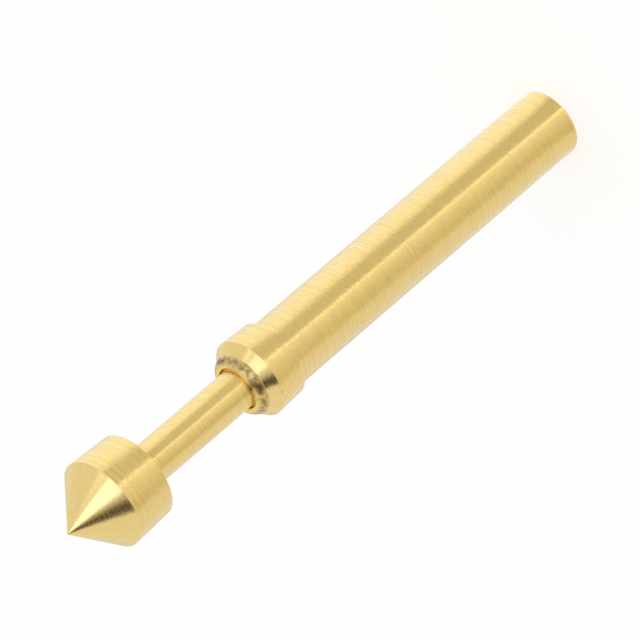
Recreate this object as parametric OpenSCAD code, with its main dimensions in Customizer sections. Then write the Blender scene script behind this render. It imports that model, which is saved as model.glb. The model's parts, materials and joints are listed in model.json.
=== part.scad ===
// Pogo pin: a spring-loaded contact probe with a conical head.
// A turned barrel with a collar holds a turned plunger and a compression spring.
// Its mouth is rolled in over the plunger's guide, so the plunger can't come out.
//
// Units are millimetres. The axis is Z, and the tip points up. The origin is on
// the axis, at the seat: the rear face of the collar, which rests on the plate.

/* [Barrel] */
// Outer diameter of the barrel behind the collar
barrel_d = 2.0; // [1.9:0.01:2.6]
// Length of the barrel behind the collar
barrel_len = 11.45; // [10:0.05:18]
// Wall between the bore and the outside of the barrel
barrel_wall = 0.22; // [0.12:0.01:0.26]
// Solid metal left behind the point of the drilled bore
rear_wall = 0.6; // [0.3:0.05:1.2]
// Point angle of the drill that made the bore
drill_angle = 118; // [90:1:140]
// Rounding of the barrel's rear edge
rear_round = 0.05; // [0.02:0.01:0.2]

/* [Collar] */
// Height of the seat: how far the collar's rear edge stands out from the barrel
seat_step = 0.14; // [0.05:0.01:0.4]
// How much larger the collar's radius is at the front than at the rear
collar_taper = 0.04; // [0.01:0.01:0.1]
// Length of the collar along the axis
collar_len = 0.91; // [0.5:0.01:2]
// Small chamfer on the collar's rear edge
collar_break = 0.02; // [0.01:0.01:0.04]

/* [Mouth] */
// Length of the cone in front of the collar
mouth_cone_len = 0.28; // [0.1:0.01:0.8]
// Wall at the root of the rolled nose
nose_wall = 0.155; // [0.12:0.005:0.25]
// Length of the rolled nose along the axis
nose_len = 0.235; // [0.2:0.005:0.4]
// Angle that the rolled nose turns through
nose_turn = 50; // [20:1:70]
// Width of the ring at the front of the nose, around the hole
lip_w = 0.09; // [0.07:0.005:0.12]
// Rounding of the edge of the hole
lip_round = 0.05; // [0.02:0.005:0.06]
// Depth of the lip that surrounds the neck
lip_depth = 0.085; // [0.07:0.005:0.12]
// Radial gap between the neck and the hole that it slides through
neck_gap = 0.065; // [0.03:0.005:0.09]

/* [Plunger] */
// Full angle of the conical tip
tip_angle = 90; // [60:1:120]
// Rounding of the point
tip_round = 0.03; // [0.01:0.01:0.2]
// Diameter of the head where the cone begins
head_d = 2.67; // [2.3:0.01:4]
// How much smaller the head's radius is at the rear than at the front
head_taper = 0.06; // [0.01:0.01:0.15]
// Length of the head behind the cone
head_len = 1.30; // [0.5:0.01:3]
// Small chamfer on the head's rear edge
head_break = 0.02; // [0.01:0.01:0.1]
// Diameter of the neck
neck_d = 1.16; // [0.9:0.01:1.25]
// Fillet between the neck and the head
neck_fillet = 0.06; // [0.02:0.01:0.2]
// Length of the neck between the lip and the head, at rest
neck_out = 3.92; // [2:0.01:5]
// Room left between the lip and the head when the plunger is pushed right in
head_room = 0.32; // [0.1:0.01:1]
// Length of the guide, the plunger's thicker part inside the bore
guide_len = 2.6; // [1.5:0.05:3.5]
// Radial running gap between the guide and the bore
guide_gap = 0.02; // [0.01:0.005:0.05]
// Chamfer on the guide's rear edge
guide_break = 0.1; // [0.03:0.01:0.2]

/* [Spring] */
// Diameter of the spring's wire
wire_d = 0.18; // [0.12:0.01:0.2]
// Radial gap between the outside of the spring and the bore
spring_gap = 0.06; // [0.03:0.005:0.12]
// Number of turns that carry the load
active_turns = 24; // [12:1:26]
// Pitch of the closed turn at each end, as a multiple of the wire's diameter
closed_pitch = 1.06; // [1.02:0.01:1.2]

/* [Fit] */
// Axial gap at rest between the guide's shoulder and the nose that stops it
stop_gap = 0.02; // [0.01:0.005:0.05]
// Gap between each end of the spring and the face that it bears on
spring_end_gap = 0.01; // [0.005:0.005:0.03]

/* [Hidden] */

// Smoothness: segments around the axis, along an arc, per turn and around the wire
round_fn = 96;
arc_steps = 8;
turn_steps = 16;
wire_sides = 8;

// Half of the guide's shoulder angle, which is also that of the nose's inner cone
shoulder_angle = 45;

// Radii, from the outside in
barrel_r = barrel_d / 2;
seat_r = barrel_r + seat_step;
collar_front_r = seat_r + collar_taper;
bore_r = barrel_r - barrel_wall;
nose_root_r = bore_r + nose_wall;
neck_r = neck_d / 2;
hole_r = neck_r + neck_gap;
lip_r = hole_r + lip_w;
guide_r = bore_r - guide_gap;
head_r = head_d / 2;
head_rear_r = head_r - head_taper;
wire_r = wire_d / 2;
coil_r = bore_r - spring_gap - wire_r;

// Stations of the barrel along the axis
collar_z = collar_len;
nose_z = collar_z + mouth_cone_len;
mouth_z = nose_z + nose_len;
stop_front_z = mouth_z - lip_depth;
stop_rear_z = stop_front_z - (bore_r - hole_r) / tan(shoulder_angle);
rear_z = -barrel_len;
drill_tip_z = rear_z + rear_wall;
bore_end_z = drill_tip_z + bore_r / tan(drill_angle / 2);

// Stations of the plunger along the axis
shoulder_z = stop_rear_z + (bore_r - guide_r) / tan(shoulder_angle) - stop_gap;
neck_start_z = shoulder_z + (guide_r - neck_r) / tan(shoulder_angle);
guide_rear_z = shoulder_z - guide_len;
head_rear_z = mouth_z + neck_out;
head_front_z = head_rear_z + head_len;
cone_apex_z = head_front_z + head_r / tan(tip_angle / 2);
tip_centre_z = cone_apex_z - tip_round / sin(tip_angle / 2);

// Travel of the plunger from rest to fully pushed in
stroke = neck_out - head_room;

// Stations of the spring: centres of the wire at its two ends. At the rear the
// wire lies in the drill's cone, and at the front it bears on the guide.
cone_seat_z = bore_end_z - (bore_r - coil_r) / tan(drill_angle / 2)
    + wire_r / sin(drill_angle / 2);
spring_rear_z = cone_seat_z + spring_end_gap;
spring_front_z = guide_rear_z - wire_r - spring_end_gap;
closed_rise = closed_pitch * wire_d;
active_rise = (spring_front_z - spring_rear_z - 2 * closed_rise) / active_turns;
total_turns = active_turns + 2;

// Points of an arc around a centre, from one angle to another
function arc(centre, r, from, to) =
    [for (i = [0:arc_steps]) centre + r * [cos(from + (to - from) * i / arc_steps),
                                           sin(from + (to - from) * i / arc_steps)]];

// Points of an arc that joins two points and turns clockwise by an angle
function joining_arc(start, end, turn) =
    let (chord = end - start)
    let (r = norm(chord) / (2 * sin(turn / 2)))
    let (side = [chord.y, -chord.x] / norm(chord))
    let (centre = (start + end) / 2 + side * r * cos(turn / 2))
    let (from = atan2(start.y - centre.y, start.x - centre.x))
    arc(centre, r, from, from - turn);

// Outline of the barrel's outside, from the rear face forward to the hole
function barrel_outside() = concat(
    arc([barrel_r - rear_round, rear_z + rear_round], rear_round, -90, 0),
    [[barrel_r, 0],
     [seat_r - collar_break, 0],
     [seat_r, collar_break],
     [collar_front_r, collar_z]],
    [for (i = [arc_steps:-1:0]) nose_arc()[i]],
    arc([hole_r + lip_round, mouth_z - lip_round], lip_round, 90, 180));

// Outline of the rolled nose, from the lip out and back to its root
function nose_arc() = joining_arc([lip_r, mouth_z], [nose_root_r, nose_z], nose_turn);

// Outline of the barrel's inside, from the lip back to the drill's point
function barrel_inside() =
    [[hole_r, stop_front_z],
     [bore_r, stop_rear_z],
     [bore_r, bore_end_z],
     [0, drill_tip_z]];

// Outline of the plunger, from the guide's rear face forward to the point
function plunger_outline() = concat(
    [[0, guide_rear_z],
     [guide_r - guide_break, guide_rear_z],
     [guide_r, guide_rear_z + guide_break],
     [guide_r, shoulder_z],
     [neck_r, neck_start_z]],
    arc([neck_r + neck_fillet, head_rear_z - neck_fillet], neck_fillet, 180, 90),
    [[head_rear_r - head_break, head_rear_z],
     [head_rear_r, head_rear_z + head_break],
     [head_r, head_front_z]],
    arc([0, tip_centre_z], tip_round, tip_angle / 2, 90));

// Height of the wire's centre after a number of turns, counted from the rear end
function coil_z(turns) =
    spring_rear_z
    + closed_rise * (min(turns, 1) + max(turns - active_turns - 1, 0))
    + active_rise * max(min(turns - 1, active_turns), 0);

// One ring of points around the wire's centre after a number of turns
function wire_ring(turns) =
    [for (s = [0:wire_sides - 1])
        let (radius = coil_r + wire_r * cos(360 * s / wire_sides))
        [radius * cos(360 * turns),
         radius * sin(360 * turns),
         coil_z(turns) + wire_r * sin(360 * s / wire_sides)]];

// Two triangles that join one side of a ring to the next ring
function ring_faces(ring, s) =
    let (a = ring * wire_sides + s)
    let (b = ring * wire_sides + (s + 1) % wire_sides)
    [[a, b, b + wire_sides], [a, b + wire_sides, a + wire_sides]];

// The turned barrel, with its collar, rolled nose and drilled bore
module barrel() {
    color("goldenrod")
        rotate_extrude($fn = round_fn)
            polygon(concat([[0, rear_z]], barrel_outside(), barrel_inside()));
}

// The turned plunger: guide, neck, head and conical tip
module plunger() {
    color("gold")
        rotate_extrude($fn = round_fn)
            polygon(plunger_outline());
}

// The compression spring, with a closed turn at each end
module spring() {
    rings = total_turns * turn_steps;
    points = [for (i = [0:rings]) each wire_ring(i / turn_steps)];
    sides = [for (i = [0:rings - 1], s = [0:wire_sides - 1]) each ring_faces(i, s)];
    rear_cap = [for (s = [wire_sides - 1:-1:0]) s];
    front_cap = [for (s = [0:wire_sides - 1]) rings * wire_sides + s];
    color("silver")
        polyhedron(points, concat(sides, [rear_cap, front_cap]));
}

barrel();
plunger();
spring();
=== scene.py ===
import json
from math import atan2, cos, pi, radians, sin, sqrt, tan

import bpy
from bpy.props import FloatProperty, FloatVectorProperty, IntProperty, PointerProperty
from bpy.types import Operator, Panel, PropertyGroup
from mathutils import Matrix, Vector


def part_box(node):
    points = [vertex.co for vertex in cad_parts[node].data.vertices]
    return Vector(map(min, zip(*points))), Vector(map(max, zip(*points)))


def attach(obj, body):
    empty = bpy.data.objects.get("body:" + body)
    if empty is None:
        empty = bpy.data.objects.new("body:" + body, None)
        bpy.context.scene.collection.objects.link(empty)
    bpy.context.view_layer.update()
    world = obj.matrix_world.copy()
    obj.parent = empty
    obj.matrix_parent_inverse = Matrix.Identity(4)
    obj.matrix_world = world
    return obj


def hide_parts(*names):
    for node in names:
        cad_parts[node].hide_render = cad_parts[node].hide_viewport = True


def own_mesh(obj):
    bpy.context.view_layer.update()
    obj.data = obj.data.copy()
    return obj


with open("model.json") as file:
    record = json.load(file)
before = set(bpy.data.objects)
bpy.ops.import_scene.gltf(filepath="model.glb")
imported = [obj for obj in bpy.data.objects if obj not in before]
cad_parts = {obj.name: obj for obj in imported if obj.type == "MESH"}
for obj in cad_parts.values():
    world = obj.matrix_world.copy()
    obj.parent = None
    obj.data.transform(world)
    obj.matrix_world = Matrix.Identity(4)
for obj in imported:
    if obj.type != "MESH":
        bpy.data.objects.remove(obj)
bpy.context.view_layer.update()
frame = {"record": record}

bl_info = {
    "name": "Pogo Pin",
    "version": (1, 0, 0),
    "blender": (4, 5, 0),
    "location": "3D View > Sidebar > Pogo Pin",
    "description": "Turned, gold-plated spring contact pin around its packed CAD frame",
    "category": "Add Mesh",
}

MM = 0.001

# Places and sizes that the frame gives
BARREL_LOW, BARREL_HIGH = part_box("barrel")
PLUNGER_LOW, PLUNGER_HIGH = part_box("plunger")
SPRING_LOW, SPRING_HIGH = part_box("spring")
SHANK = next(m for m in frame["record"]["mounts"] if m["name"] == "barrel_shank")

REAR_Z = BARREL_LOW.z
MOUTH_Z = BARREL_HIGH.z
SHANK_R = SHANK["dims"]["r_mm"] * MM
COLLAR_FRONT_R = BARREL_HIGH.x
HEAD_R = PLUNGER_HIGH.x
TIP_Z = PLUNGER_HIGH.z
GUIDE_REAR_Z = PLUNGER_LOW.z

# How finely the pieces are drawn
SPIN_STEPS = 256
WIRE_SIDES = 12
TURN_STEPS = 24
MERGE_DISTANCE = 1e-7
SHARP_ANGLE = radians(14)

# Angles of the turned forms, in degrees
DRILL_HALF_ANGLE = 59
NOSE_TURN = 50

# Rings in the plating: width in metres, changes per metre round the axis, height in metres
RINGS = (
    (0.030 * MM, 90.0, 0.0010 * MM),
    (0.09 * MM, 120.0, 0.0016 * MM),
    (0.45 * MM, 160.0, 0.0024 * MM),
    (0.055 * MM, 7500.0, 0.0042 * MM),
)
CONE_RINGS = 0.4
DENT_HEIGHT = 0.008 * MM
CLOUD_SCALE = 6500.0

# The two small dark marks: their colour, azimuths in degrees, and the pit's share of the head's radius
MARK = (0.24, 0.16, 0.07, 1.0)
NICK_AZIMUTH = 44
PIT_AZIMUTH = 94.5
PIT_SHARE = 0.817


def length(name, description, millimetres):
    """A size in the panel, in metres, with its default given in millimetres."""
    return FloatProperty(
        name=name, description=description, default=millimetres * MM, min=0.0, unit="LENGTH", precision=6
    )


def colour(name, description, default):
    """A colour in the panel."""
    return FloatVectorProperty(
        name=name, description=description, default=default, size=3, min=0.0, max=1.0, subtype="COLOR"
    )


class BarrelSizes(PropertyGroup):
    """Sizes of the turned barrel"""

    wall: length("Wall", "Wall between the bore and the outside", 0.22)
    rear_wall: length("Rear wall", "Solid metal behind the drill's point", 0.6)
    rear_round: length("Rear rounding", "Rounding of the rear edge", 0.05)
    collar_length: length("Collar length", "Length of the collar along the axis", 0.91)
    collar_taper: length("Collar taper", "How much the collar's radius grows to the front", 0.04)
    nose_wall: length("Nose wall", "Wall at the root of the rolled nose", 0.155)
    nose_length: length("Nose length", "Length of the rolled nose", 0.235)
    lip_width: length("Lip width", "Width of the ring around the hole", 0.09)
    lip_round: length("Lip rounding", "Rounding of the edge of the hole", 0.05)
    lip_depth: length("Lip depth", "Depth of the lip around the neck", 0.085)
    neck_gap: length("Neck gap", "Radial gap between the hole and the neck", 0.065)
    edge_bevel: length("Edge bevel", "Softening of the turned edges", 0.012)


class PlungerSizes(PropertyGroup):
    """Sizes of the turned plunger"""

    neck_radius: length("Neck radius", "Radius of the neck", 0.58)
    head_length: length("Head length", "Length of the head behind the cone", 1.30)
    head_taper: length("Head taper", "How much the head's radius shrinks to the rear", 0.06)
    neck_fillet: length("Neck fillet", "Fillet between the neck and the head", 0.06)
    tip_round: length("Tip rounding", "Rounding of the point", 0.03)
    guide_length: length("Guide length", "Length of the thicker part in the bore", 2.6)
    guide_gap: length("Guide gap", "Running gap between the guide and the bore", 0.02)
    guide_bevel: length("Guide bevel", "Chamfer on the guide's rear edge", 0.1)
    edge_bevel: length("Edge bevel", "Softening of the turned edges", 0.012)


class SpringSizes(PropertyGroup):
    """Sizes of the compression spring"""

    wire_radius: length("Wire radius", "Radius of the wire", 0.09)
    active_turns: IntProperty(name="Active turns", description="Turns that carry the load", default=24, min=1)
    closed_pitch: FloatProperty(
        name="Closed pitch", description="Pitch of the end turns, in wire diameters", default=1.06, min=1.0
    )


class PlatingColours(PropertyGroup):
    """Colours of the finishes, and of a painted shade and a painted reflection"""

    gold: colour("Gold", "The plating where it faces the light", (0.78, 0.595, 0.235))
    # Painted shade: the darker, browner mottle at the root of the rolled nose stands in for the
    # micro-shadowing of its rough rolled surface.
    rolled_nose_shade: colour("Rolled gold", "The scuffed root of the rolled nose", (0.24, 0.15, 0.06))
    # Painted reflection: the deeper, orange gold inside the lip stands in for the gold that the hole and the
    # neck mirror into each other.
    painted_reflection_gold: colour("Deep gold", "The gold inside the lip, where it mirrors more gold", (1.0, 0.69, 0.13))
    steel: colour("Steel", "The spring's drawn wire", (0.60, 0.59, 0.56))


# ---------------------------------------------------------------- modelling helpers


def arc(centre, radius, start, end, steps):
    """Points (radius, height) of an arc around a centre, between two angles in degrees."""
    angles = [radians(start + (end - start) * i / steps) for i in range(steps + 1)]
    return [(centre[0] + radius * cos(a), centre[1] + radius * sin(a)) for a in angles]


def joining_arc(start, end, turn, steps):
    """Points of an arc that joins two points and turns clockwise by an angle in degrees."""
    a, b = Vector(start), Vector(end)
    chord = b - a
    radius = chord.length / (2 * sin(radians(turn) / 2))
    side = Vector((chord.y, -chord.x)).normalized()
    centre = (a + b) / 2 + side * radius * cos(radians(turn) / 2)
    first = atan2(a.y - centre.y, a.x - centre.x) * 180 / pi
    return arc(centre, radius, first, first - turn, steps)


def spun(name, outline, bevel):
    """A turned piece: its outline is drawn point by point, spun round Z and softened at its edges."""
    bpy.ops.object.select_all(action="DESELECT")
    first = outline[0]
    bpy.ops.mesh.primitive_plane_add(size=MM, location=(first[0], 0, first[1]))
    piece = bpy.context.object
    piece.name = piece.data.name = name
    bpy.ops.object.mode_set(mode="EDIT")
    bpy.ops.mesh.merge(type="CENTER")
    for (r0, z0), (r1, z1) in zip(outline, outline[1:]):
        bpy.ops.mesh.extrude_region_move(TRANSFORM_OT_translate={"value": (r1 - r0, 0, z1 - z0)})
    bpy.ops.mesh.select_all(action="SELECT")
    bpy.ops.mesh.spin(steps=SPIN_STEPS, angle=2 * pi, center=(0, 0, 0), axis=(0, 0, 1))
    bpy.ops.mesh.select_all(action="SELECT")
    bpy.ops.mesh.remove_doubles(threshold=MERGE_DISTANCE)
    bpy.ops.mesh.normals_make_consistent(inside=False)
    bpy.ops.object.mode_set(mode="OBJECT")
    bpy.ops.object.transform_apply(location=True, rotation=True, scale=True)
    soften(piece, bevel)
    return piece


def soften(piece, width):
    """Rounds the sharp edges of a piece a little, and shades its faces smoothly."""
    edges = piece.modifiers.new("edges", "BEVEL")
    edges.width = width
    edges.segments = 3
    edges.limit_method = "ANGLE"
    edges.angle_limit = SHARP_ANGLE
    edges.harden_normals = False
    bpy.ops.object.modifier_apply(modifier=edges.name)
    bpy.ops.object.shade_smooth()
    shading = piece.modifiers.new("shading", "WEIGHTED_NORMAL")
    shading.keep_sharp = False
    shading.weight = 80
    bpy.ops.object.modifier_apply(modifier=shading.name)


# ---------------------------------------------------------------- finishes


class Nodes:
    """A short way to add and join the nodes of one material."""

    def __init__(self, name):
        self.material = bpy.data.materials.new(name)
        self.material.use_nodes = True
        self.tree = self.material.node_tree
        self.shader = self.tree.nodes["Principled BSDF"]

    def add(self, kind, inputs=None, **settings):
        node = self.tree.nodes.new(kind)
        for key, value in settings.items():
            setattr(node, key, value)
        for key, value in (inputs or {}).items():
            self.feed(node, key, value)
        return node

    def feed(self, node, key, value):
        if isinstance(value, bpy.types.NodeSocket):
            self.tree.links.new(value, node.inputs[key])
        else:
            node.inputs[key].default_value = value

    def math(self, operation, *values):
        inputs = {i: v for i, v in enumerate(values)}
        return self.add("ShaderNodeMath", inputs, operation=operation).outputs[0]

    def noise(self, vector, detail=2.0, roughness=0.5):
        inputs = {"Vector": vector, "Scale": 1.0, "Detail": detail, "Roughness": roughness}
        return self.add("ShaderNodeTexNoise", inputs).outputs["Fac"]

    def span(self, value, low, high, start=0.0, end=1.0):
        """Turns low..high into start..end, and holds what lies outside at those ends."""
        ends = {"Value": value, "From Min": low, "From Max": high, "To Min": start, "To Max": end}
        return self.add("ShaderNodeMapRange", ends).outputs["Result"]

    def scaled(self, along, around, position):
        """A vector that runs along the turned outline, and much more slowly around the axis."""
        x = self.math("MULTIPLY", position.outputs["X"], around)
        y = self.math("MULTIPLY", position.outputs["Y"], around)
        return self.add("ShaderNodeCombineXYZ", {"X": along, "Y": x, "Z": y}).outputs[0]


def turned_gold(name, colours, coarse, smooth_above, rolled_above=1.0, hole_r=0.0, nick=None):
    """Gold plating over turned metal: rings around the axis at several widths.

    The cone, above smooth_above, is smoother than the rest. A rolled nose, above rolled_above, is
    rougher, with painted shade at its root as a darker, browner mottle, and a painted reflection as a
    deeper, orange gold inside its lip. nick is the place of a small dark mark.
    """
    nodes = Nodes(name)
    coords = nodes.add("ShaderNodeTexCoord")
    place = nodes.add("ShaderNodeSeparateXYZ", {0: coords.outputs["Object"]})
    flat = nodes.add("ShaderNodeCombineXYZ", {"X": place.outputs["X"], "Y": place.outputs["Y"]})
    radius = nodes.add("ShaderNodeVectorMath", {0: flat.outputs[0]}, operation="LENGTH").outputs["Value"]
    outline = nodes.math("SUBTRACT", place.outputs["Z"], radius)

    def ring_noise(width, around, detail=1.0):
        along = nodes.math("MULTIPLY", outline, 1 / width)
        return nodes.noise(nodes.scaled(along, around, place), detail)

    def past(height):
        return nodes.span(place.outputs["Z"], height - 0.02 * MM, height + 0.02 * MM)

    def spread(value, low, high, inner=0.3):
        return nodes.span(value, inner, 1 - inner, low, high)

    def blend(factor, first, second):
        mix = nodes.add("ShaderNodeMix", data_type="FLOAT")
        for key, value in (("Factor", factor), ("A", first), ("B", second)):
            nodes.feed(mix, key, value)
        return mix.outputs["Result"]

    def tinted(factor, first, second, method="MIX"):
        mix = nodes.add("ShaderNodeMix", data_type="RGBA", blend_type=method)
        for key, value in ((0, factor), (6, first), (7, second)):
            nodes.feed(mix, key, value)
        return mix.outputs[2]

    smooth, rolled = past(smooth_above), past(rolled_above)
    noises = [ring_noise(width, around) for width, around, height in RINGS]
    fine, middle = noises[:2]
    spots = {0: coords.outputs["Object"], "Scale": CLOUD_SCALE}
    spots = nodes.add("ShaderNodeVectorMath", spots, operation="SCALE")
    cloud = nodes.noise(spots.outputs[0], 4.0, 0.6)

    # Height of the surface, in metres. Only the two narrow kinds of ring depend on coarse.
    rings = 0.0
    for noise, (width, around, height), share in zip(noises, RINGS, (coarse, coarse, 1.0, 1.0)):
        rings = nodes.math("ADD", rings, nodes.math("MULTIPLY", noise, height * share))
    rings = nodes.math("MULTIPLY", rings, blend(smooth, 1.0, CONE_RINGS))
    dents = nodes.math("MULTIPLY", nodes.math("MULTIPLY", cloud, rolled), DENT_HEIGHT)
    surface = nodes.math("ADD", rings, dents)
    bump = nodes.add("ShaderNodeBump", {"Strength": 1.0, "Distance": 1.0, "Height": surface})
    nodes.feed(nodes.shader, "Normal", bump.outputs["Normal"])

    gold = tinted(spread(cloud, 0.0, 1.0), [c * 0.965 for c in colours.gold] + [1.0],
                  [min(c * 1.035, 1.0) for c in colours.gold] + [1.0])
    # Painted shade: the colour is made lighter and darker along the rings, by up to 4.5 % times coarse, for
    # the micro-shadowing in the turned rings. The cone keeps an even colour.
    shade = spread(blend(0.5, fine, middle), 1 - 0.045 * coarse, 1 + 0.045 * coarse)
    shade = blend(smooth, shade, 1.0)
    grey = nodes.add("ShaderNodeCombineXYZ", {"X": shade, "Y": shade, "Z": shade}).outputs[0]
    gold = tinted(1.0, gold, grey, "MULTIPLY")
    if hole_r:
        root = nodes.span(radius, hole_r + 0.09 * MM, hole_r + 0.20 * MM)
        fade = nodes.span(radius, hole_r + 0.23 * MM, hole_r + 0.33 * MM, 1.0, 0.35)
        # Painted shade: the rolled nose is mottled darker and browner, none at the lip, strongest in a band
        # at its root and weaker further out, for the micro-shadowing of its rough surface.
        nose_shade_mask = nodes.math("MULTIPLY", nodes.math("MULTIPLY", root, rolled), spread(cloud, 0.35, 1.0, 0.40))
        nose_shade_mask = nodes.math("MULTIPLY", nose_shade_mask, fade)
        gold = tinted(nose_shade_mask, gold, [*colours.rolled_nose_shade, 1.0])
        # Painted reflection: the hole's wall and the edge of the lip next to it get a deeper, orange gold,
        # for the gold mirrored back and forth in the gap round the neck.
        lip = nodes.span(radius, hole_r + 0.02 * MM, hole_r + 0.05 * MM, 1.0, 0.0)
        gold = tinted(nodes.math("MULTIPLY", lip, smooth), gold, [*colours.painted_reflection_gold, 1.0])
    if nick:
        gap = nodes.add("ShaderNodeVectorMath", {0: coords.outputs["Object"], 1: nick}, operation="SUBTRACT")
        gap = nodes.add("ShaderNodeVectorMath", {0: gap.outputs[0], 1: (1.0, 1.0, 2.0)}, operation="MULTIPLY")
        gap = nodes.add("ShaderNodeVectorMath", {0: gap.outputs[0]}, operation="LENGTH")
        worn = nodes.span(gap.outputs["Value"], 0.020 * MM, 0.045 * MM, 1.0, 0.0)
        gold = tinted(worn, gold, MARK)
    nodes.feed(nodes.shader, "Base Color", gold)

    rough = spread(blend(0.6, middle, fine), 0.14, 0.44, 0.36)
    rough = blend(smooth, rough, spread(middle, 0.24, 0.30))
    nodes.feed(nodes.shader, "Roughness", blend(rolled, rough, spread(cloud, 0.24, 0.38)))
    tangent = nodes.add("ShaderNodeTangent", direction_type="RADIAL", axis="Z")
    nodes.feed(nodes.shader, "Tangent", tangent.outputs[0])
    nodes.shader.inputs["Metallic"].default_value = 1.0
    nodes.shader.inputs["Anisotropic"].default_value = 0.9
    nodes.shader.inputs["Anisotropic Rotation"].default_value = 0.25
    return nodes.material


def drawn_steel(name, colours):
    """Stainless spring wire with faint drawing marks."""
    nodes = Nodes(name)
    coords = nodes.add("ShaderNodeTexCoord")
    spot = {0: coords.outputs["Object"], "Scale": 9000.0}
    spot = nodes.add("ShaderNodeVectorMath", spot, operation="SCALE")
    grain = nodes.noise(spot.outputs[0], 3.0)
    bump = nodes.add("ShaderNodeBump", {"Strength": 1.0, "Distance": 0.0006 * MM, "Height": grain})
    nodes.feed(nodes.shader, "Normal", bump.outputs["Normal"])
    nodes.feed(nodes.shader, "Roughness", nodes.span(grain, 0.0, 1.0, 0.22, 0.38))
    nodes.shader.inputs["Base Color"].default_value = (*colours.steel, 1.0)
    nodes.shader.inputs["Metallic"].default_value = 1.0
    return nodes.material


def finish_piece(piece, material, body, node):
    """Gives a piece its finish and its place in the frame."""
    piece.data.materials.clear()
    piece.data.materials.append(material)
    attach(piece, body)
    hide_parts(node)


# ---------------------------------------------------------------- pieces


def barrel_outline(sizes, neck_radius):
    """Outline of the barrel: rear face, outside, rolled nose, hole, bore and drill point."""
    bore_r = SHANK_R - sizes.wall
    hole_r = neck_radius + sizes.neck_gap
    nose_z = MOUTH_Z - sizes.nose_length
    stop_z = MOUTH_Z - sizes.lip_depth
    drill_z = REAR_Z + sizes.rear_wall
    rear_arc = (SHANK_R - sizes.rear_round, REAR_Z + sizes.rear_round)
    lip_arc = (hole_r + sizes.lip_round, MOUTH_Z - sizes.lip_round)
    nose = joining_arc((hole_r + sizes.lip_width, MOUTH_Z), (bore_r + sizes.nose_wall, nose_z), NOSE_TURN, 12)
    return (
        [(0, REAR_Z)]
        + arc(rear_arc, sizes.rear_round, -90, 0, 6)
        + [(SHANK_R, 0), (COLLAR_FRONT_R - sizes.collar_taper, 0), (COLLAR_FRONT_R, sizes.collar_length)]
        + nose[::-1]
        + arc(lip_arc, sizes.lip_round, 90, 180, 8)
        + [(hole_r, stop_z), (bore_r, stop_z - (bore_r - hole_r))]
        + [(bore_r, drill_z + bore_r / tan(radians(DRILL_HALF_ANGLE))), (0, drill_z)]
    )


def plunger_outline(sizes, barrel):
    """Outline of the plunger: guide, neck, head and conical tip."""
    guide_r = SHANK_R - barrel.wall - sizes.guide_gap
    shoulder_z = GUIDE_REAR_Z + sizes.guide_length
    cone_z = TIP_Z + sizes.tip_round * (sqrt(2) - 1) - HEAD_R
    head_rear_z = cone_z - sizes.head_length
    head_rear_r = HEAD_R - sizes.head_taper
    fillet = (sizes.neck_radius + sizes.neck_fillet, head_rear_z - sizes.neck_fillet)
    return (
        [(0, GUIDE_REAR_Z), (guide_r - sizes.guide_bevel, GUIDE_REAR_Z)]
        + [(guide_r, GUIDE_REAR_Z + sizes.guide_bevel), (guide_r, shoulder_z)]
        + [(sizes.neck_radius, shoulder_z + guide_r - sizes.neck_radius)]
        + arc(fillet, sizes.neck_fillet, 180, 90, 6)
        + [(head_rear_r, head_rear_z), (HEAD_R, cone_z)]
        + arc((0, TIP_Z - sizes.tip_round), sizes.tip_round, 45, 90, 6)
    )


class POGO_OT_barrel(Operator):
    """Turn the barrel, with its collar, rolled nose and bore"""

    bl_idname = "pogo.barrel"
    bl_label = "Barrel"
    bl_options = {"REGISTER", "UNDO"}

    def execute(self, context):
        scene = context.scene
        sizes = scene.pogo_barrel
        outline = barrel_outline(sizes, scene.pogo_plunger.neck_radius)
        piece = spun("turned_barrel", outline, sizes.edge_bevel)
        nose_z = MOUTH_Z - sizes.nose_length
        hole_r = scene.pogo_plunger.neck_radius + sizes.neck_gap
        nick = COLLAR_FRONT_R * direction(NICK_AZIMUTH, 0) + Vector((0, 0, sizes.collar_length - 0.01 * MM))
        gold = turned_gold("barrel_gold", scene.pogo_colours, 0.45, sizes.collar_length, nose_z, hole_r, nick)
        finish_piece(piece, gold, "barrel", "barrel")
        return {"FINISHED"}


class POGO_OT_plunger(Operator):
    """Turn the plunger, with its guide, neck, head and conical tip"""

    bl_idname = "pogo.plunger"
    bl_label = "Plunger"
    bl_options = {"REGISTER", "UNDO"}

    def execute(self, context):
        scene = context.scene
        sizes = scene.pogo_plunger
        piece = spun("turned_plunger", plunger_outline(sizes, scene.pogo_barrel), sizes.edge_bevel)
        cone_z = TIP_Z + sizes.tip_round * (sqrt(2) - 1) - HEAD_R
        pit_r = PIT_SHARE * HEAD_R
        pit = pit_r * direction(PIT_AZIMUTH, 0) + Vector((0, 0, cone_z + HEAD_R - pit_r))
        gold = turned_gold("plunger_gold", scene.pogo_colours, 1.0, cone_z, nick=pit)
        finish_piece(piece, gold, "plunger", "plunger")
        return {"FINISHED"}


def coil(name, sizes, coil_radius, start, rise, turns):
    """A stretch of the spring: a ring of the wire's section, screwed up round Z."""
    bpy.ops.object.select_all(action="DESELECT")
    bpy.ops.mesh.primitive_circle_add(
        vertices=WIRE_SIDES, radius=sizes.wire_radius,
        location=(coil_radius, 0, start), rotation=(pi / 2, 0, 0),
    )
    piece = bpy.context.object
    piece.name = name
    bpy.ops.object.transform_apply(location=True, rotation=True, scale=True)
    screw = piece.modifiers.new("turns", "SCREW")
    screw.axis = "Z"
    screw.angle = 2 * pi * turns
    screw.screw_offset = rise * turns
    screw.steps = screw.render_steps = TURN_STEPS * turns
    bpy.ops.object.modifier_apply(modifier=screw.name)
    return piece


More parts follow.
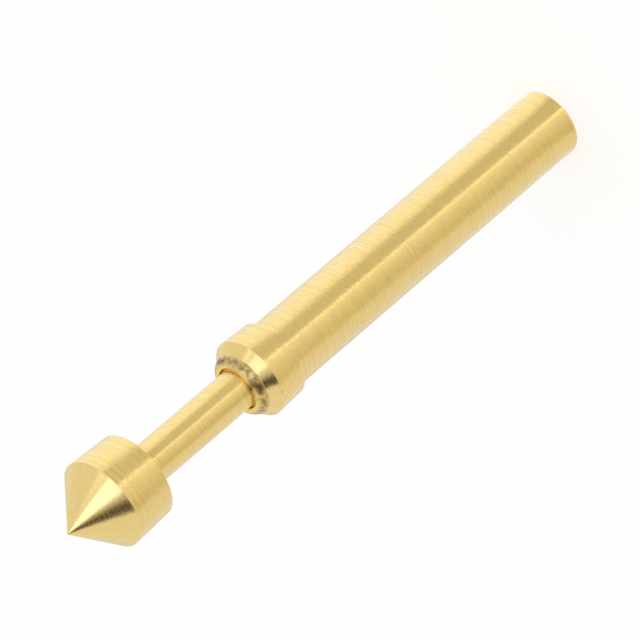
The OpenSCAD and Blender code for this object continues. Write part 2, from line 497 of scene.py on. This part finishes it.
class POGO_OT_spring(Operator):
    """Wind the compression spring, with a closed turn at each end"""

    bl_idname = "pogo.spring"
    bl_label = "Spring"
    bl_options = {"REGISTER", "UNDO"}

    def execute(self, context):
        scene = context.scene
        sizes = scene.pogo_spring
        coil_radius = SPRING_HIGH.x - sizes.wire_radius
        rear = SPRING_LOW.z + sizes.wire_radius
        front = SPRING_HIGH.z - sizes.wire_radius
        closed = 2 * sizes.wire_radius * sizes.closed_pitch
        rise = (front - rear - 2 * closed) / sizes.active_turns
        stretches = [
            coil("rear_turn", sizes, coil_radius, rear, closed, 1),
            coil("active_turns", sizes, coil_radius, rear + closed, rise, sizes.active_turns),
            coil("front_turn", sizes, coil_radius, front - closed, closed, 1),
        ]
        bpy.ops.object.select_all(action="DESELECT")
        for stretch in stretches:
            stretch.select_set(True)
        spring = stretches[1]
        context.view_layer.objects.active = spring
        bpy.ops.object.join()
        spring.name = spring.data.name = "coil_spring"
        bpy.ops.object.mode_set(mode="EDIT")
        bpy.ops.mesh.select_all(action="SELECT")
        bpy.ops.mesh.remove_doubles(threshold=MERGE_DISTANCE)
        bpy.ops.mesh.select_all(action="DESELECT")
        bpy.ops.mesh.select_non_manifold(extend=False, use_wire=False, use_boundary=True,
                                         use_multi_face=False, use_non_contiguous=False, use_verts=False)
        bpy.ops.mesh.edge_face_add()
        bpy.ops.mesh.select_all(action="SELECT")
        bpy.ops.mesh.normals_make_consistent(inside=False)
        bpy.ops.object.mode_set(mode="OBJECT")
        bpy.ops.object.shade_smooth()
        steel = drawn_steel("spring_steel", scene.pogo_colours)
        finish_piece(spring, steel, "barrel", "spring")
        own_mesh(spring)
        return {"FINISHED"}


# ---------------------------------------------------------------- stage

FLOOR_SIZE = 4.0
FLOOR_GREY = (0.8, 0.8, 0.8, 1)
FLOOR_LIFT = 0.50
AMBIENT = 0.6
REFLECTOR_SIZE = 0.3
REFLECTOR_HEIGHT = 0.05 * MM

# Cards round the pin: azimuth and elevation in degrees, distance in metres, width and height in
# degrees as seen from the pin, and brightness in red, green and blue
CARDS = (
    ("bright_card", -18, 60, 0.25, 32, 34, (2.1, 2.3, 3.0)),
    ("low_bright_card", -57, 38, 0.25, 15, 12, (1.9, 2.0, 2.4)),
    ("dark_card", 49, 52, 0.2, 26, 90, (0.03, 0.015, 0.0)),
)

# Brightness of the reflector under the pin: azimuth in degrees, then red, green and blue
RING_LIGHT = (
    (-180, (1.20, 1.20, 1.22)),
    (-172, (0.86, 0.83, 0.76)),
    (-160, (0.90, 0.88, 0.84)),
    (-148, (1.15, 1.20, 1.38)),
    (-120, (1.30, 1.36, 1.55)),
    (-90, (1.36, 1.40, 1.56)),
    (-72, (1.34, 1.33, 1.28)),
    (-62, (1.22, 1.19, 1.12)),
    (-55, (0.94, 0.90, 0.80)),
    (-50, (0.78, 0.74, 0.63)),
    (-30, (0.80, 0.76, 0.65)),
    (-18, (0.80, 0.76, 0.66)),
    (-12, (0.86, 0.82, 0.74)),
    (-9, (1.60, 1.52, 1.42)),
    (-4, (1.50, 1.44, 1.32)),
    (1, (1.20, 1.15, 1.02)),
    (20, (1.04, 0.98, 0.83)),
    (40, (0.92, 0.86, 0.72)),
    (57, (0.86, 0.80, 0.66)),
    (63, (0.88, 0.83, 0.69)),
    (69, (1.00, 0.97, 0.82)),
    (80, (1.02, 0.99, 0.93)),
    (100, (1.02, 1.01, 1.05)),
    (120, (1.00, 1.01, 1.12)),
    (145, (1.03, 1.08, 1.22)),
    (156, (0.80, 0.77, 0.68)),
    (170, (0.86, 0.83, 0.76)),
    (175, (1.26, 1.24, 1.24)),
    (180, (1.20, 1.20, 1.22)),
)


def direction(azimuth, elevation):
    """Unit vector towards an azimuth and an elevation. Azimuth 0 is towards -Y, and 90 towards -X."""
    a, e = radians(azimuth), radians(elevation)
    return Vector((-sin(a) * cos(e), -cos(a) * cos(e), sin(e)))


def softbox(name, azimuth, elevation, distance, width, height, radiance):
    """An area light that faces the pin. Width and height are angles in degrees."""
    lamp = bpy.data.lights.new(name, "AREA")
    lamp.shape = "RECTANGLE"
    lamp.size = 2 * distance * tan(radians(width) / 2)
    lamp.size_y = 2 * distance * tan(radians(height) / 2)
    lamp.energy = radiance * pi * lamp.size * lamp.size_y
    place = bpy.data.objects.new(name, lamp)
    bpy.context.scene.collection.objects.link(place)
    towards = direction(azimuth, elevation)
    place.location = towards * distance
    place.rotation_euler = towards.to_track_quat("Z", "Y").to_euler()


def card(name, place, size, turn, emission, round_card=False):
    """A card that only the metal's reflections see, with an even or a graded brightness."""
    bpy.ops.object.select_all(action="DESELECT")
    if round_card:
        bpy.ops.mesh.primitive_circle_add(vertices=96, radius=0.5, fill_type="NGON")
    else:
        bpy.ops.mesh.primitive_plane_add(size=1)
    piece = bpy.context.object
    piece.name = piece.data.name = name
    piece.scale = (*size, 1)
    piece.location = place
    piece.rotation_euler = turn
    piece.visible_camera = piece.visible_diffuse = piece.visible_shadow = False
    piece.visible_transmission = piece.visible_volume_scatter = False
    piece.data.materials.append(emission)


def graded_ring(name, stops):
    """A card material whose brightness changes with the azimuth round the pin."""
    nodes = Nodes(name)
    tree = nodes.tree
    tree.nodes.remove(nodes.shader)
    place = nodes.add("ShaderNodeNewGeometry").outputs["Position"]
    split = nodes.add("ShaderNodeSeparateXYZ", {0: place})
    across = nodes.math("MULTIPLY", split.outputs["X"], -1.0)
    ahead = nodes.math("SUBTRACT", -SHANK_R / 2, split.outputs["Y"])
    turn = nodes.math("ARCTAN2", across, ahead)
    ramp = nodes.add("ShaderNodeValToRGB", {0: nodes.math("MULTIPLY_ADD", turn, 0.5 / pi, 0.5)})
    points = ramp.color_ramp.elements
    while len(points) > 1:
        points.remove(points[-1])
    for i, (azimuth, level) in enumerate(stops):
        point = points[0] if i == 0 else points.new(azimuth / 360 + 0.5)
        point.position = azimuth / 360 + 0.5
        point.color = (*(c / 2 for c in level), 1)
    light = nodes.add("ShaderNodeEmission", {"Color": ramp.outputs["Color"], "Strength": 2.0})
    tree.links.new(light.outputs[0], tree.nodes["Material Output"].inputs["Surface"])
    return nodes.material


def flat_light(name, level):
    """A card material with an even brightness."""
    nodes = Nodes(name)
    nodes.tree.nodes.remove(nodes.shader)
    light = nodes.add("ShaderNodeEmission", {"Color": (*level, 1), "Strength": 1.0})
    nodes.tree.links.new(light.outputs[0], nodes.tree.nodes["Material Output"].inputs["Surface"])
    return nodes.material


def facing_card(name, azimuth, elevation, distance, width, height, level):
    """A card that faces the pin. Width and height are angles in degrees."""
    towards = direction(azimuth, elevation)
    size = (2 * distance * tan(radians(width) / 2), 2 * distance * tan(radians(height) / 2))
    turn = towards.to_track_quat("Z", "Y").to_euler()
    card(name, towards * distance, size, turn, flat_light(name, level))


def make_floor():
    """A wide pale floor under the pin's rear end. It shows white, and keeps the pin's shadow."""
    bpy.ops.object.select_all(action="DESELECT")
    bpy.ops.mesh.primitive_plane_add(size=FLOOR_SIZE, location=(0, 0, REAR_Z))
    floor = bpy.context.object
    floor.name = floor.data.name = "floor"
    bpy.ops.object.transform_apply(location=True, rotation=True, scale=True)
    nodes = Nodes("floor_white")
    tree = nodes.tree
    tree.nodes.remove(nodes.shader)
    output = tree.nodes["Material Output"]
    paths = nodes.add("ShaderNodeLightPath").outputs
    mirrored = nodes.math("MAXIMUM", paths["Is Glossy Ray"], paths["Is Transmission Ray"])
    matt = nodes.add("ShaderNodeBsdfDiffuse", {"Color": FLOOR_GREY})
    lift = nodes.math("MULTIPLY", paths["Is Camera Ray"], FLOOR_LIFT)
    lift = nodes.add("ShaderNodeEmission", {"Strength": lift})
    seen = nodes.add("ShaderNodeAddShader", {0: matt.outputs[0], 1: lift.outputs[0]})
    white = nodes.add("ShaderNodeEmission", {"Strength": 1.0})
    mix = nodes.add("ShaderNodeMixShader", {0: mirrored, 1: seen.outputs[0], 2: white.outputs[0]})
    tree.links.new(mix.outputs[0], output.inputs["Surface"])
    floor.data.materials.append(nodes.material)


def make_world(ambient):
    """White to the camera and in reflections, and a softer white for the light that it gives."""
    world = bpy.data.worlds.new("studio")
    bpy.context.scene.world = world
    world.use_nodes = True
    tree = world.node_tree
    background = tree.nodes["Background"]
    paths = tree.nodes.new("ShaderNodeLightPath").outputs
    seen = tree.nodes.new("ShaderNodeMath")
    seen.operation = "MAXIMUM"
    tree.links.new(paths["Is Camera Ray"], seen.inputs[0])
    tree.links.new(paths["Is Glossy Ray"], seen.inputs[1])
    any_seen = tree.nodes.new("ShaderNodeMath")
    any_seen.operation = "MAXIMUM"
    tree.links.new(seen.outputs[0], any_seen.inputs[0])
    tree.links.new(paths["Is Transmission Ray"], any_seen.inputs[1])
    strength = tree.nodes.new("ShaderNodeMapRange")
    strength.inputs["To Min"].default_value = ambient
    strength.inputs["To Max"].default_value = 1.0
    tree.links.new(any_seen.outputs[0], strength.inputs["Value"])
    background.inputs["Color"].default_value = (1, 1, 1, 1)
    tree.links.new(strength.outputs["Result"], background.inputs["Strength"])


class StageSettings(PropertyGroup):
    """Camera and light"""

    elevation: FloatProperty(
        name="Elevation", description="Height of the camera above the pin's cross-section",
        default=radians(30.045), subtype="ANGLE",
    )
    slope: FloatProperty(
        name="Slope", description="Angle at which the pin's axis rises to the right in the picture",
        default=radians(40.545), subtype="ANGLE",
    )
    distance: FloatProperty(
        name="Distance", description="Distance from the camera to the point that it aims at", default=0.15737,
        unit="LENGTH",
    )
    aim: FloatProperty(
        name="Aim", description="Distance behind the tip of the point on the axis that the camera aims at",
        default=0.00985, unit="LENGTH",
    )
    aim_right: length("Aim to the right", "How far right of the axis the camera aims", 0.013)
    aim_down: length("Aim below", "How far below the axis the camera aims", 0.032)
    lens: FloatProperty(name="Lens", description="Focal length of the camera", default=333.4, unit="CAMERA")


def make_camera(stage):
    """A long lens that looks at the pin from its tip side, turned so that the pin rises to the right."""
    data = bpy.data.cameras.new("camera")
    data.lens = stage.lens
    data.sensor_width = 36.0
    data.clip_start, data.clip_end = 0.001, 10.0
    camera = bpy.data.objects.new("camera", data)
    bpy.context.scene.collection.objects.link(camera)
    back = direction(0, stage.elevation * 180 / pi)
    rearward = Vector((0, -sin(stage.elevation), -cos(stage.elevation)))
    across = back.cross(rearward)
    right = cos(stage.slope) * rearward - sin(stage.slope) * across
    up = sin(stage.slope) * rearward + cos(stage.slope) * across
    turn = Matrix((right, up, back)).transposed().to_4x4()
    target = Vector((0, 0, TIP_Z - stage.aim)) + right * stage.aim_right - up * stage.aim_down
    camera.matrix_world = Matrix.Translation(target + back * stage.distance) @ turn
    bpy.context.scene.camera = camera


class POGO_OT_stage(Operator):
    """Set up the floor, the soft light and the camera"""

    bl_idname = "pogo.stage"
    bl_label = "Stage"
    bl_options = {"REGISTER", "UNDO"}

    def execute(self, context):
        make_floor()
        make_world(AMBIENT)
        ring = graded_ring("reflector_ring", RING_LIGHT)
        place = (0, 0, REAR_Z + REFLECTOR_HEIGHT)
        card("reflector", place, (REFLECTOR_SIZE, REFLECTOR_SIZE), (0, 0, 0), ring, round_card=True)
        for settings in CARDS:
            facing_card(*settings)
        softbox("top_softbox", -25, 57, 0.3, 30, 20, 0.5)
        make_camera(context.scene.pogo_stage)
        context.scene.view_settings.view_transform = "Standard"
        return {"FINISHED"}


class POGO_PT_panel(Panel):
    """Sizes and colours of the pin, and the buttons that build it"""

    bl_label = "Pogo Pin"
    bl_idname = "POGO_PT_panel"
    bl_space_type = "VIEW_3D"
    bl_region_type = "UI"
    bl_category = "Pogo Pin"

    def draw(self, context):
        scene = context.scene
        for group, operator in (
            (scene.pogo_barrel, POGO_OT_barrel),
            (scene.pogo_plunger, POGO_OT_plunger),
            (scene.pogo_spring, POGO_OT_spring),
            (scene.pogo_stage, POGO_OT_stage),
        ):
            box = self.layout.box()
            for name in group.__annotations__:
                box.prop(group, name)
            box.operator(operator.bl_idname)
        for name in scene.pogo_colours.__annotations__:
            self.layout.prop(scene.pogo_colours, name)


GROUPS = {
    "pogo_barrel": BarrelSizes,
    "pogo_plunger": PlungerSizes,
    "pogo_spring": SpringSizes,
    "pogo_colours": PlatingColours,
    "pogo_stage": StageSettings,
}
CLASSES = (*GROUPS.values(), POGO_OT_barrel, POGO_OT_plunger, POGO_OT_spring, POGO_OT_stage, POGO_PT_panel)


def register():
    for cls in CLASSES:
        bpy.utils.register_class(cls)
    for name, group in GROUPS.items():
        setattr(bpy.types.Scene, name, PointerProperty(type=group))


def unregister():
    for name in GROUPS:
        delattr(bpy.types.Scene, name)
    for cls in reversed(CLASSES):
        bpy.utils.unregister_class(cls)


def main():
    register()
    bpy.ops.pogo.barrel()
    bpy.ops.pogo.plunger()
    bpy.ops.pogo.spring()
    bpy.ops.pogo.stage()


if __name__ == "__main__":
    main()
